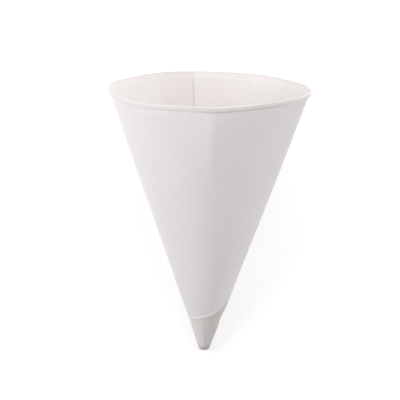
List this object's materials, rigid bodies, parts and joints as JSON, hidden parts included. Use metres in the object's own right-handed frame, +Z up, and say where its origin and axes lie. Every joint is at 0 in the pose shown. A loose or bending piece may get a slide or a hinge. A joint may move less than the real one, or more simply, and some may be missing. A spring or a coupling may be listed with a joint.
{
  "type": "cone paper cup",
  "caption": "White cone-shaped paper drinking cup with a rolled rim, a lapped seam and a pleated, blunt tip, lying on its side.",
  "frame": {"origin": "centre of the cup's footprint, level with the table that it lies on", "axes": "+Z up from the table; +Y towards the open mouth and -Y towards the tip; the cone's own axis lies in the YZ plane and rises 20.0 degrees towards the mouth, and the lap ends underneath"},
  "size_m": [0.0732, 0.1024, 0.0687],
  "materials": {
    "waxed_paper": "satin"
  },
  "bodies": {
    "root": {"cone_cup": "waxed_paper"}
  },
  "joints": []
}
